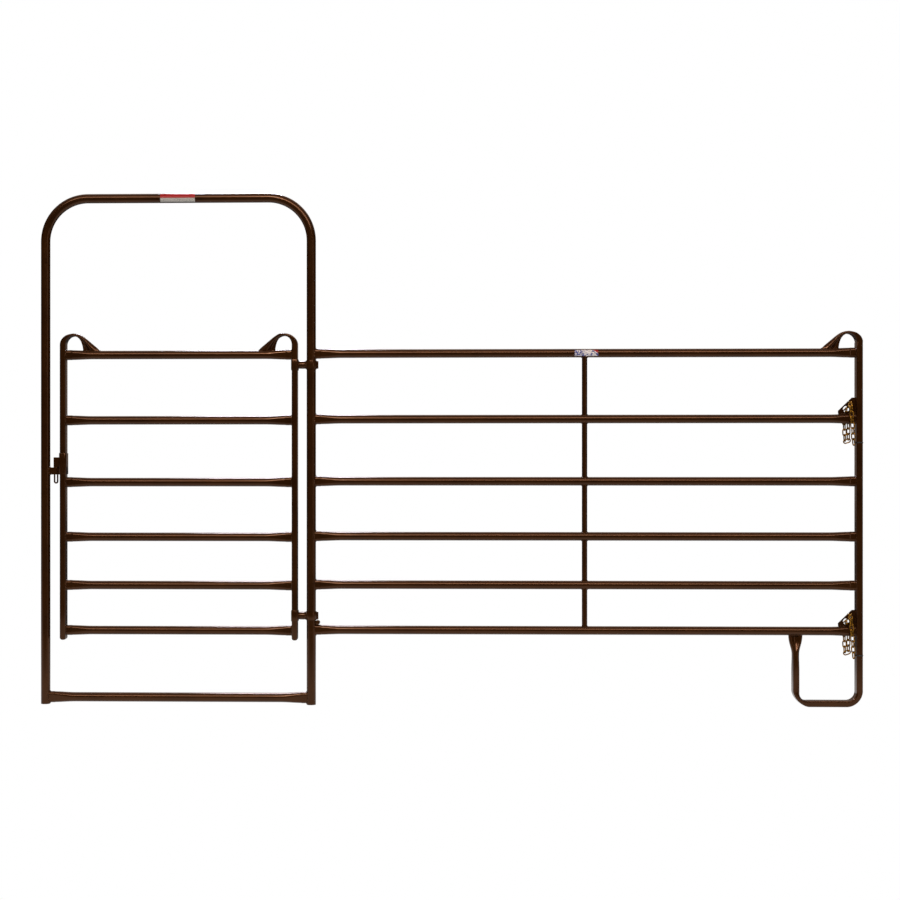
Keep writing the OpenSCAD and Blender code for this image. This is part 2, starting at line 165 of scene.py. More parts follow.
class FittingSettings(bpy.types.PropertyGroup):
    zinc: colour("Zinc", "Yellow passivated zinc of the chains", "b98527")
    zinc_dull: colour("Dull zinc", "Worn zinc of the chains", "5f4113")
    red: colour("Label red", "Upper band of the bow's label", "a6060b")
    grey: colour("Label grey", "Lower band of the bow's label", "d6d4ce")
    white: colour("Label white", "Ground of the rail's label", "ece8ea")
    blue: colour("Label blue", "Patch on the rail's label", "4c549c")


class StudioSettings(bpy.types.PropertyGroup):
    distance: length("Camera distance", "From the camera to the panel's plane", 6.968, 3.0, 20.0)
    height: length("Camera height", "Height of the camera above the floor", 1.030, 0.3, 3.0)
    turn: bpy.props.FloatProperty(
        name="Camera turn", description="Turn of the camera to the left", subtype="ANGLE",
        default=0.0266)
    focal: bpy.props.FloatProperty(
        name="Focal length", description="Focal length on a 36 mm wide sensor", unit="CAMERA",
        default=62.485, min=20, max=200)
    key: power("Front light", "Power of the broad soft light above the camera", 360.0)
    side: power("Side light", "Power of the tall soft light at the right", 25.0)
    ceiling: factor("Ceiling", "Brightness of the room overhead", 0.5, 4)
    back: factor("Back wall", "Brightness of the wall behind the section", 0.25, 4)
    floor: factor("Floor glow", "Light that the floor gives off beneath the section", 0.8, 2)


# ---- Materials ----

def add_node(tree, kind, settings=None, links=None):
    """A shader node with its settings, by attribute or by input, and its links, by input."""
    node = tree.nodes.new("ShaderNode" + kind)
    for key, value in (settings or {}).items():
        if isinstance(key, str) and key not in node.inputs and hasattr(node, key):
            setattr(node, key, value)
        else:
            node.inputs[key].default_value = value
    for key, socket in (links or {}).items():
        tree.links.new(socket, node.inputs[key])
    return node


def new_material(name):
    material = bpy.data.materials.new(name)
    material.use_nodes = True
    material.node_tree.nodes.clear()
    return material, material.node_tree


def finish_material(tree, shader):
    add_node(tree, "OutputMaterial", links={"Surface": shader.outputs[0]})


def mixed(tree, factor, a, b, lo=0.35, hi=0.65):
    """Colour a or b by a factor that is spread between lo and hi."""
    spread = add_node(tree, "MapRange", {"From Min": lo, "From Max": hi}, {"Value": factor})
    return add_node(tree, "Mix", {"data_type": "RGBA", 6: tuple(a), 7: tuple(b)},
                    {0: spread.outputs[0]}).outputs[2]


def powder_coat(name, settings, lumps=0.0):
    # Gloss brown polyester powder coat, sprayed and baked on welded steel tube: a deep, even colour,
    # a warm sheen with a faint orange peel, and slow drifts of tone where the powder lay thicker.
    material, tree = new_material(name)
    place = add_node(tree, "TexCoord").outputs["Object"]
    # Tone drifts over about 150 mm
    drift = add_node(tree, "TexNoise", {"Scale": 1 / 0.15, "Detail": 3.0}, {"Vector": place})
    # Real orange peel is 1 to 2 mm across; it is drawn at twice that so that it shows at all
    peel = add_node(tree, "TexNoise", {"Scale": 1 / settings.peel, "Detail": 1.5},
                    {"Vector": place})
    # Rub marks from handling, about 25 mm across, change the gloss
    rub = add_node(tree, "TexNoise", {"Scale": 1 / 0.025, "Detail": 4.0}, {"Vector": place})
    smooth, rough = (0.08, 0.16) if lumps else (0.12, 0.22)
    gloss = add_node(tree, "MapRange",
                     {"From Min": 0.3, "From Max": 0.7, "To Min": smooth, "To Max": rough},
                     {"Value": rub.outputs["Fac"]})
    bump = add_node(tree, "Bump", {"Strength": 0.3, "Distance": 0.00006},
                    {"Height": peel.outputs["Fac"]})
    if lumps:
        # Weld ripple and spatter under the coat, 5 mm lumps
        spatter = add_node(tree, "TexNoise", {"Scale": 1 / 0.005, "Detail": 2.0},
                           {"Vector": place})
        bump = add_node(tree, "Bump", {"Strength": 0.8, "Distance": lumps},
                        {"Height": spatter.outputs["Fac"], "Normal": bump.outputs[0]})
    shader = add_node(
        tree, "BsdfPrincipled",
        {"IOR": 1.5, "Specular Tint": linear("ffb685"), "Coat Weight": 0.12,
         "Coat Roughness": 0.1, "Coat IOR": 1.5},
        {"Base Color": mixed(tree, drift.outputs["Fac"], settings.shade, settings.brown, 0.3, 0.62),
         "Roughness": gloss.outputs[0], "Normal": bump.outputs[0]})
    finish_material(tree, shader)
    return material


def yellow_zinc(name, settings):
    # Zinc plated wire chain, yellow passivated: a pale gold metal with dull brassy patches where
    # links rub, and a fine grain of about 1.5 mm from the plating.
    material, tree = new_material(name)
    place = add_node(tree, "TexCoord").outputs["Object"]
    patch = add_node(tree, "TexNoise", {"Scale": 1 / 0.009, "Detail": 3.0}, {"Vector": place})
    grain = add_node(tree, "TexNoise", {"Scale": 1 / 0.0015, "Detail": 2.0}, {"Vector": place})
    dull = add_node(tree, "MapRange", {"To Min": 0.26, "To Max": 0.5},
                    {"Value": patch.outputs["Fac"]})
    bump = add_node(tree, "Bump", {"Strength": 0.3, "Distance": 0.0001},
                    {"Height": grain.outputs["Fac"]})
    shader = add_node(
        tree, "BsdfPrincipled", {"Metallic": 0.85},
        {"Base Color": mixed(tree, patch.outputs["Fac"], settings.zinc_dull, settings.zinc),
         "Roughness": dull.outputs[0], "Normal": bump.outputs[0]})
    finish_material(tree, shader)
    return material


def black_nylon(name):
    # Moulded black nylon 6/6 cable tie: satin, with a fine moulded grain of about 0.8 mm.
    material, tree = new_material(name)
    place = add_node(tree, "TexCoord").outputs["Object"]
    grain = add_node(tree, "TexNoise", {"Scale": 1 / 0.0008, "Detail": 2.0}, {"Vector": place})
    satin = add_node(tree, "MapRange", {"To Min": 0.38, "To Max": 0.55},
                     {"Value": grain.outputs["Fac"]})
    bump = add_node(tree, "Bump", {"Strength": 0.2, "Distance": 0.0001},
                    {"Height": grain.outputs["Fac"]})
    shader = add_node(
        tree, "BsdfPrincipled", {"IOR": 1.53},
        {"Base Color": mixed(tree, grain.outputs["Fac"], linear("0b0b0c"), linear("19191b")),
         "Roughness": satin.outputs[0], "Normal": bump.outputs[0]})
    finish_material(tree, shader)
    return material


def step(tree, value, edge, soft):
    """0 below edge and 1 above it, softened over soft."""
    return add_node(tree, "MapRange", {"From Min": edge - soft, "From Max": edge + soft},
                    {"Value": value}).outputs[0]


def vinyl_shader(tree, base, place):
    # Printed and laminated vinyl film: smooth and fairly glossy, with slow ripples of about 12 mm.
    ripple = add_node(tree, "TexNoise", {"Scale": 1 / 0.012, "Detail": 1.0}, {"Vector": place})
    gloss = add_node(tree, "MapRange", {"To Min": 0.22, "To Max": 0.36},
                     {"Value": ripple.outputs["Fac"]})
    bump = add_node(tree, "Bump", {"Strength": 0.3, "Distance": 0.0002},
                    {"Height": ripple.outputs["Fac"]})
    finish_material(tree, add_node(
        tree, "BsdfPrincipled", {"IOR": 1.5, "Specular IOR Level": 0.25},
        {"Base Color": base, "Roughness": gloss.outputs[0], "Normal": bump.outputs[0]}))


def banded_vinyl(name, node, settings):
    # Vinyl label in two plain bands, red over pale grey, with nothing on it to read.
    material, tree = new_material(name)
    place = add_node(tree, "TexCoord").outputs["Object"]
    axes = add_node(tree, "SeparateXYZ", links={"Vector": place})
    # Fine flecks about 4 mm wide and 1.2 mm high on the pale band
    grid = add_node(tree, "Mapping", {"Scale": (1 / 0.004, 0, 1 / 0.0012)},
                    {"Vector": place})
    speck = add_node(tree, "TexNoise", {"Scale": 1.0, "Detail": 1.0}, {"Vector": grid.outputs[0]})
    dark_grey = [0.25 * c for c in settings.grey[:3]] + [1]
    pale = mixed(tree, speck.outputs["Fac"], dark_grey, settings.grey, 0.36, 0.5)
    edge = low(node).z + 0.46 * (high(node).z - low(node).z)
    both = add_node(tree, "Mix", {"data_type": "RGBA", 7: tuple(settings.red)},
                    {0: step(tree, axes.outputs["Z"], edge, 0.0002), 6: pale})
    vinyl_shader(tree, both.outputs[2], place)
    return material


def patched_vinyl(name, node, settings):
    # White vinyl label with a soft blue patch and a red corner, with nothing on it to read.
    material, tree = new_material(name)
    place = add_node(tree, "TexCoord").outputs["Object"]
    axes = add_node(tree, "SeparateXYZ", links={"Vector": place})
    lo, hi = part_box(node)
    blot = add_node(tree, "TexNoise", {"Scale": 1 / 0.03, "Detail": 1.0}, {"Vector": place})
    # The patch's edge wanders by 35 mm about its mean place
    wander = 0.035
    shift = add_node(tree, "Math", {"operation": "MULTIPLY_ADD", 1: -wander},
                     {0: blot.outputs["Fac"], 2: axes.outputs["X"]})
    patch = step(tree, shift.outputs[0], lo.x + 0.45 * (hi.x - lo.x) - wander / 2, 0.004)
    # Broken blue flecks about 7 mm wide all over, thicker inside the patch
    fleck = add_node(tree, "TexNoise", {"Scale": 1 / 0.007, "Detail": 1.0}, {"Vector": place})
    cover = add_node(tree, "Math", {"operation": "MULTIPLY_ADD", 1: 0.12},
                     {0: patch, 2: fleck.outputs["Fac"]})
    ground = add_node(tree, "Mix",
                      {"data_type": "RGBA", 6: tuple(settings.blue), 7: tuple(settings.white)},
                      {0: step(tree, cover.outputs[0], 0.53, 0.05)})
    # The red corner lies beyond a line that leans by this much
    lean = 1.6
    slope = add_node(tree, "Math", {"operation": "MULTIPLY_ADD", 1: lean},
                     {0: axes.outputs["Z"], 2: axes.outputs["X"]})
    corner = step(tree, slope.outputs[0], hi.x + lean * (lo.z + 0.45 * (hi.z - lo.z)), 0.0015)
    base = add_node(tree, "Mix", {"data_type": "RGBA", 7: tuple(settings.red)},
                    {0: corner, 6: ground.outputs[2]})
    vinyl_shader(tree, base.outputs[2], place)
    return material


MATERIALS = {}


def look(name):
    """The material of that name, made the first time that it is asked for."""
    if name not in MATERIALS:
        scene = bpy.context.scene
        MATERIALS[name] = {
            "brown_powder_coat": lambda: powder_coat(name, scene.panel_coat),
            "brown_powder_coat_on_weld": lambda: powder_coat(name, scene.panel_coat, 0.0006),
            "yellow_passivated_zinc": lambda: yellow_zinc(name, scene.panel_fittings),
            "black_nylon": lambda: black_nylon(name),
            "red_and_grey_vinyl": lambda: banded_vinyl(name, "bow_label", scene.panel_fittings),
            "white_and_blue_vinyl": lambda: patched_vinyl(name, "rail_label", scene.panel_fittings),
        }[name]()
    return MATERIALS[name]


# ---- Shapes ----

def turns(count):
    """Angles all the way round, evenly spaced."""
    return [2 * pi * k / count for k in range(count)]


def stadium(a, b, count=SIDES, corner=None):
    """Evenly spaced points of a flat-sided oval of half sizes a and b, from the +a side."""
    r = min(a, b, corner or a)
    p, q = a - r, b - r
    arc = pi * r / 2
    runs = (q, arc, 2 * p, arc, 2 * q, arc, 2 * p, arc, q)
    points = []
    for i in range(count):
        s = i / count * sum(runs)
        k = 0
        while k < 8 and s > runs[k]:
            s -= runs[k]
            k += 1
        t = s / r + (k // 2) * pi / 2
        if k % 2:
            cx, cy = ((p, q), (-p, q), (-p, -q), (p, -q))[k // 2]
            points.append((cx + r * cos(t), cy + r * sin(t)))
        else:
            points.append(((a, s), (p - s, b), (-a, q - s), (-p + s, -b), (a, -q + s))[k // 2])
    return points


def post_depth():
    """Half depth of the posts along Y, more than a plain oval's, as their corners are tighter."""
    return RAIL_END + 0.0015


def ease(v):
    v = min(max(v, 0.0), 1.0)
    return v * v * (3 - 2 * v)


def loft(rings, closed=False):
    """A skin of quads over rings of points, its two ends filled unless it closes on itself."""
    bm = bmesh.new()
    rows = [[bm.verts.new(p) for p in ring] for ring in rings]
    count = len(rows[0])
    for a, b in list(zip(rows, rows[1:])) + ([(rows[-1], rows[0])] if closed else []):
        for i in range(count):
            j = (i + 1) % count
            bm.faces.new((a[i], a[j], b[j], b[i]))
    if not closed:
        bm.faces.new(rows[0][::-1])
        bm.faces.new(rows[-1])
    bmesh.ops.recalc_face_normals(bm, faces=bm.faces)
    return bm


def ring_at(x, z, heading, a, b, fold=None, corner=None, swell=0.0):
    """A flat-sided oval across a path in the XZ plane: half size a in the plane, b along Y.

    swell turns it into an ellipse. fold is (depth, centre, half width) of a fold in the front
    face, with the centre and the width as shares of a.
    """
    nx, nz = -sin(heading), cos(heading)
    ring = []
    for i, (pa, pb) in enumerate(stadium(a, b, corner=corner)):
        t = 2 * pi * i / SIDES
        pa, pb = pa + swell * (a * cos(t) - pa), pb + swell * (b * sin(t) - pb)
        if fold and pb < 0:
            q = (pa / a - fold[1]) / fold[2]
            if abs(q) < 1:
                pb += fold[0] * (0.5 + 0.5 * cos(pi * q))
            q = (pa / a - fold[1] - 0.78) / 0.55
            if swell and abs(q) < 1:
                pb -= 0.4 * fold[0] * (0.5 + 0.5 * cos(pi * q))
        ring.append(Vector((x + nx * pa, pb, z + nz * pa)))
    return ring


def shared(rings, sx, x0):
    """Rings drawn along +u turned to stand at x0, and mirrored if sx is -1."""
    return [[Vector((x0 + sx * p.x, p.y, p.z)) for p in ring] for ring in rings]


def cut_end(make, depth, wall):
    """Rings of an open cut end, from deep inside the bore out to the rim.

    make(d, g) gives the ring d from the end, shrunk by g.
    """
    lip = 0.0005
    return [make(depth, wall), make(lip, wall), make(0, wall - lip * 0.8), make(0, lip),
            make(lip, 0)]


def rail(x0, x1, z, r, flat, tubes, grip=0.0):
    """A tube along X, pressed thin along Y at both ends, its ends buried by grip."""
    def half(d):
        t = 2 * r
        if d < tubes.squash:
            # A short step at the jaw's edge, and then the long swell back to round
            past_jaw = d - tubes.jaw
            rise = 0.22 * ease(past_jaw / 0.006) + 0.78 * ease(past_jaw / (tubes.squash - tubes.jaw))
            t = flat + (2 * r - flat) * min(rise, 1)
        return t / 2, girth_width(t, r) / 2
    steps = [0, 0.008, tubes.jaw * 0.8, tubes.jaw]
    steps += [tubes.jaw + d for d in (0.0015, 0.003, 0.0045, 0.006, 0.009)]
    steps += [tubes.jaw + 0.009 + (tubes.squash - tubes.jaw - 0.009) * k / 10 for k in range(1, 11)]
    run = [(x0 - grip, 0)] + [(x0 + d, d) for d in steps]
    count = max(2, int((x1 - x0 - 2 * tubes.squash) / 0.15))
    inner0, inner1 = x0 + tubes.squash, x1 - tubes.squash
    run += [(inner0 + (inner1 - inner0) * k / count, tubes.squash) for k in range(1, count)]
    run += [(x1 - d, d) for d in reversed(steps)] + [(x1 + grip, 0)]
    rings = []
    for x, d in run:
        a, b = half(d)
        rings.append([Vector((x, pa, z + pb)) for pa, pb in stadium(a, b)])
    return loft(rings)


def bead(path, across, radius, pitch, seed=0):
    """A rippled weld bead along a closed path. across points away from the joint's own line."""
    count = len(path)
    rings, run = [], 0.0
    for i, p in enumerate(path):
        ahead = path[(i + 1) % count] - path[i - 1]
        run += (p - path[i - 1]).length if i else 0.0
        t = ahead.normalized()
        n = (across - across.dot(t) * t).normalized()
        m = t.cross(n)
        ripple = 1 + 0.14 * sin(2 * pi * run / pitch)
        ripple += 0.16 * noise.noise(Vector((run * 90, seed * 7.3, 0.5)))
        r = radius * ripple
        rings.append([p + (n * cos(t) + m * sin(t)) * r for t in turns(BEAD_SIDES)])
    return loft(rings, closed=True)


def dense(path, gap=0.0016):
    """The closed path with points no further apart than gap."""
    out = []
    for i, p in enumerate(path):
        q = path[(i + 1) % len(path)]
        count = max(1, int(ceil((q - p).length / gap)))
        out += [p.lerp(q, k / count) for k in range(count)]
    return out


def weld_line(path, across, weld, seed, share=1.0):
    """A bead along a closed path of far-apart points, its radius a share of the usual one."""
    return bead(dense(path), across, weld.bead * share, weld.pitch, seed)


def collar(make, low_end, high_end, wall, rim=0.0008):
    """A band round a tube. make(g, z) gives the outer ring grown by g at height z."""
    soft = rim * 0.3
    return loft([make(-wall, low_end + rim), make(-wall, high_end - rim),
                 make(rim - wall, high_end), make(-rim, high_end), make(-soft, high_end - soft),
                 make(0, high_end - rim), make(0, (low_end + high_end) / 2), make(0, low_end + rim),
                 make(-soft, low_end + soft), make(-rim, low_end), make(rim - wall, low_end)],
                closed=True)


def slab(outline, lift, soft=0.0008):
    """An outline of points pushed along lift, with all its edges rounded."""
    bm = bmesh.new()
    face = bm.faces.new([bm.verts.new(p) for p in outline])
    new = bmesh.ops.extrude_face_region(bm, geom=[face])["geom"]
    bmesh.ops.translate(bm, vec=lift, verts=[v for v in new if isinstance(v, bmesh.types.BMVert)])
    bmesh.ops.recalc_face_normals(bm, faces=bm.faces)
    bmesh.ops.bevel(bm, geom=list(bm.edges), offset=soft, segments=3, profile=0.5,
                    affect="EDGES", clamp_overlap=True)
    return bm


def block(lo, hi, soft=0.0008):
    corners = ((lo.x, lo.y), (hi.x, lo.y), (hi.x, hi.y), (lo.x, hi.y))
    return slab([Vector((x, y, lo.z)) for x, y in corners], Vector((0, 0, hi.z - lo.z)), soft)


def piece(name, parts, body, material="brown_powder_coat", nodes=(), sharp=35):
    """One object from several bmeshes, riding on a body and standing for the nodes."""
    mesh = bpy.data.meshes.new(name)
    whole = bmesh.new()
    for part in parts:
        part.to_mesh(mesh)
        whole.from_mesh(mesh)
        part.free()
    whole.to_mesh(mesh)
    whole.free()
    mesh.shade_smooth()
    mesh.set_sharp_from_angle(angle=radians(sharp))
    mesh.materials.append(look(material))
    obj = bpy.data.objects.new(name, mesh)
    bpy.context.scene.collection.objects.link(obj)
    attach(obj, body)
    if nodes:
        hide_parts(*nodes)


def welds(name, beads, body):
    piece(name, beads, body, "brown_powder_coat_on_weld")


def dress(nodes, material):
    """Gives carried-over nodes their finish."""
    for node in nodes:
        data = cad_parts[node].data
        data.materials.clear()
        data.materials.append(look(material))


def oval_joint(x, z, a, b, grow=0.0):
    """The outline of a rail's end where it meets a flat face at x."""
    return [Vector((x, pa, z + pb)) for pa, pb in stadium(a + grow, b + grow, 96)]


def on_leg(outline, leg, side, r):
    """The outline moved along X onto the skin of a leg."""
    return [Vector((leg + side * sqrt(max(r * r - p.y * p.y, 0)), p.y, p.z)) for p in outline]


# ---- Pieces ----

class Builder:
    bl_options = {"REGISTER", "UNDO"}


class PANEL_OT_bow(Builder, bpy.types.Operator):
    """Bow tube over the walk-through, and the threshold tube between its legs"""
    bl_idname = "panel.bow"
    bl_label = "Bow and Threshold"

    def execute(self, context):
        tubes, weld = context.scene.panel_tubes, context.scene.panel_welds
        r, top = BOW_R, high("bow_tube").z
        leg_h = top - r - BOW_BEND

        def circle(x, z, heading, g=0.0):
            nx, nz = -sin(heading), cos(heading)
            across = [((r - g) * cos(t), (r - g) * sin(t)) for t in turns(64)]
            return [Vector((x + nx * u, v, z + nz * u)) for u, v in across]

        def bend(x, start):
            """A quarter turn about x at the legs' top, from the angle start."""
            return [circle(x + BOW_BEND * cos(t), leg_h + BOW_BEND * sin(t), t - pi / 2)
                    for t in (start - k * pi / 48 for k in range(25))]
        up, down = pi / 2, -pi / 2
        rings = cut_end(lambda d, g: circle(LEFT_LEG, d, up, g), BORE, tubes.wall)
        rings += [circle(LEFT_LEG, leg_h * k / 14, up) for k in range(1, 14)]
        rings += bend(LEFT_LEG + BOW_BEND, pi)
        span = RIGHT_LEG - LEFT_LEG - 2 * BOW_BEND
        rings += [circle(LEFT_LEG + BOW_BEND + span * k / 8, leg_h + BOW_BEND, 0) for k in range(1, 8)]
        rings += bend(RIGHT_LEG - BOW_BEND, pi / 2)
        rings += [circle(RIGHT_LEG, leg_h * k / 14, down) for k in range(13, 0, -1)]
        rings += cut_end(lambda d, g: circle(RIGHT_LEG, d, down, g), BORE, tubes.wall)[::-1]
        piece("bow", [loft(rings)], "frame", nodes=["bow_tube"])

        lo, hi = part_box("threshold_rail")
        z = middle("threshold_rail").z
        threshold = rail(lo.x, hi.x, z, r, FLAT, tubes, 0.001)
        piece("threshold", [threshold], "frame", nodes=["threshold_rail"])
        b = girth_width(FLAT, r) / 2
        ends = []
        for leg, side in ((LEFT_LEG, 1), (RIGHT_LEG, -1)):
            path = on_leg(oval_joint(leg, z, FLAT / 2, b, 0.001), leg, side, r)
            ends.append(weld_line(path, X, weld, side))
        welds("threshold_welds", ends, "frame")
        return {"FINISHED"}


class PANEL_OT_panel_rails(Builder, bpy.types.Operator):
    """Six fixed rails and the stays between them, with their welds"""
    bl_idname = "panel.panel_rails"
    bl_label = "Panel Rails and Stays"

    def execute(self, context):
        tubes, weld = context.scene.panel_tubes, context.scene.panel_welds
        face = POST - FLAT / 2
        beads = []
        for i in RAILS:
            node = f"panel_rail_{i}"
            lo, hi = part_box(node)
            z = middle(node).z
            tube = rail(lo.x, hi.x, z, RAIL_R, FLAT, tubes, 0.002)
            piece(node + "_tube", [tube], "frame", nodes=[node])
            path = on_leg(oval_joint(0, z, FLAT / 2, RAIL_END, 0.001), RIGHT_LEG, 1, BOW_R)
            beads.append(weld_line(path, X, weld, i))
            path = oval_joint(face, z, FLAT / 2, RAIL_END - 0.0005, 0.0005)
            beads.append(weld_line(path, X, weld, i + 9))
        stays = []
        for i in STAYS:
            node = f"centre_stay_{i}"
            x = middle(node).x
            r = (high(node).x - low(node).x) / 2
            z0, z1 = middle(f"panel_rail_{i}").z, middle(f"panel_rail_{i + 1}").z
            seat = sqrt(RAIL_R ** 2 - r ** 2) - 0.001
            levels = [z0 + seat + (z1 - z0 - 2 * seat) * k / 8 for k in range(9)]
            stays.append(loft([[Vector((x + r * cos(t), r * sin(t), z))
                                for t in turns(SIDES)] for z in levels]))
            for z, side in ((z0, 1), (z1, -1)):
                g = r + 0.0008
                path = [Vector((x + g * cos(t), g * sin(t),
                                z + side * sqrt(RAIL_R ** 2 - (g * sin(t)) ** 2)))
                        for t in turns(SIDES)]
                beads.append(weld_line(path, Z, weld, i + side * 20, 0.85))
        piece("stays", stays, "frame", nodes=[f"centre_stay_{i}" for i in STAYS])
        welds("panel_welds", beads, "frame")
        return {"FINISHED"}


# Radius of the hole of a loop, and the height of its middle and of its top above the rail's top
LOOP_HOLE = 0.0365
LOOP_MIDDLE = 0.025
LOOP_TOP = 0.076
# From a post's middle to the near and the far end of its tail's weld on the rail
TAIL_NEAR, TAIL_FAR = 0.088, 0.164
# Half width of a pinched tube end
PINCH = 0.0078
# Edges of a loop's tail from the crown to the rail, in mm: inner edge, outer edge, half depth
# along Y, and the depth of the fold as a share
TAIL = [
    (57.5, 63.5, 62.5, 74.8, 25.5, 0.0), (65.5, 58.6, 75, 71.6, 23, 0.05),
    (72.5, 51.5, 88, 64.6, 19.5, 0.15), (78.2, 42, 102.5, 54, 15.5, 0.35),
    (82.3, 31, 117, 41.8, 12, 0.6), (85.2, 20, 131.5, 29.6, 9.5, 0.85),
    (87, 10, 147, 16.6, 8.4, 1.0), (87.8, 3, 157.5, 7.0, 7.8, 1.0),
    (88, -2.2, 164, -1.6, 7.4, 1.0),
]


def looped_top(post_z0, rail_z, tubes, flat=FLAT):
    """Rings of a post's straight stretch from post_z0, its loop and its tail, drawn along +u."""
    mid = FLAT / 2 + LOOP_HOLE
    rail_top = rail_z + RAIL_R
    zc = rail_top + LOOP_MIDDLE
    rise = (LOOP_TOP - LOOP_MIDDLE - tubes.crown) / LOOP_HOLE
    rings = []
    count = max(2, int((zc - post_z0) / 0.12))
    for k in range(1, count + 1):
        rings.append(ring_at(0, post_z0 + (zc - post_z0) * k / count, pi / 2, flat / 2,
                             post_depth(), corner=tubes.corner))
    for k in range(1, 25):
        t = pi - k * pi / 48
        thick = flat + (tubes.crown - flat) * ease(k / 22)
        inner = Vector((mid + LOOP_HOLE * cos(t), 0, zc + LOOP_HOLE * rise * sin(t)))
        centre = inner + Vector((cos(t), 0, sin(t))) * thick / 2
        depth = min(girth_width(thick, RAIL_R) / 2 + 0.0015, 0.0265)
        rings.append(ring_at(centre.x, centre.z, t - pi / 2, thick / 2, depth,
                             corner=tubes.corner))
    return rings + smooth_tail(rail_top, tubes.fold)


def smooth_tail(rail_top, fold):
    """Rings down the tail, three between each pair of the edges' points."""
    rows = [tuple(v * MM for v in row[:5]) + (row[5],) for row in TAIL]
    rings = []
    for i in range(len(rows) - 1):
        p0, p1, p2, p3 = (rows[min(max(i + k, 0), len(rows) - 1)] for k in (-1, 0, 1, 2))
        for k in range(3 if i < len(rows) - 2 else 4):
            s = k / 3
            # A smooth curve through the four rows around this place
            row = [0.5 * (2 * b + (c - a) * s + (2 * a - 5 * b + 4 * c - d) * s * s
                          + (3 * b - a - 3 * c + d) * s ** 3)
                   for a, b, c, d in zip(p0, p1, p2, p3)]
            e1 = Vector((row[0], 0, rail_top + row[1]))
            e2 = Vector((row[2], 0, rail_top + row[3]))
            n = e2 - e1
            c = (e1 + e2) / 2
            heading = atan2(-n.x, n.z)
            deep = min(fold * 1.5, row[4] * 1.45) * max(row[5], 0)
            crease = (deep, -0.45, 0.5) if row[5] > 0.02 else None
            rings.append(ring_at(c.x, c.z, heading, n.length / 2, row[4], crease,
                                 swell=ease((i + s) / 3)))
    return rings


def tail_weld(post_x, side, rail_z, weld, seed):
    """Bead round the foot of a loop's tail, on the rail's round top."""
    centre = post_x + side * (TAIL_NEAR + TAIL_FAR) / 2
    path = [Vector((centre + pa, pb, rail_z + sqrt(RAIL_R ** 2 - pb ** 2) + 0.0004))
            for pa, pb in stadium((TAIL_FAR - TAIL_NEAR) / 2, PINCH, 96)]
    return weld_line(path, Z, weld, seed, 0.8)


class PANEL_OT_gate(Builder, bpy.types.Operator):
    """The gate's two looped stiles and six rails, with their welds"""
    bl_idname = "panel.gate"
    bl_label = "Gate"

    def execute(self, context):
        tubes, weld = context.scene.panel_tubes, context.scene.panel_welds
        beads = []
        top = middle("gate_rail_6").z
        # Rounded closed foot of a stile: height above its end, and how far it is drawn in there
        foot = ((0, 0.0085), (0.0006, 0.0062), (0.0018, 0.0042), (0.0036, 0.0024), (0.006, 0.001),
                (0.009, 0))
        for node, x, side in (("gate_stile_latch", low("gate_stile_latch").x + FLAT / 2, 1),
                              ("gate_stile_hinge", high("gate_stile_hinge").x - FLAT / 2, -1)):
            z0 = low(node).z
            start = [ring_at(0, z0 + up, pi / 2, FLAT / 2 - g, post_depth() - g,
                             corner=tubes.corner) for up, g in foot]
            rings = shared(start + looped_top(z0 + foot[-1][0], top, tubes), side, x)
            piece(node + "_tube", [loft(rings)], "gate", nodes=[node])
            beads.append(tail_weld(x, side, top, weld, side))
            face = x + side * FLAT / 2
            for i in RAILS:
                path = oval_joint(face, middle(f"gate_rail_{i}").z, FLAT / 2, RAIL_END - 0.0005,
                                  0.0005)
                beads.append(weld_line(path, X, weld, i * side))
        for i in RAILS:
            node = f"gate_rail_{i}"
            lo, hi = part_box(node)
            tube = rail(lo.x, hi.x, middle(node).z, RAIL_R, FLAT, tubes, 0.002)
            piece(node + "_tube", [tube], "gate", nodes=[node])
        welds("gate_welds", beads, "gate")
        return {"FINISHED"}


# Radius of the foot's bends at the tube's middle, and how far below the rail its flare reaches
FOOT_BEND = 0.054
FLARE = 0.098
# Half width of the flared end as it was packed
FLARE_HALF = 0.029


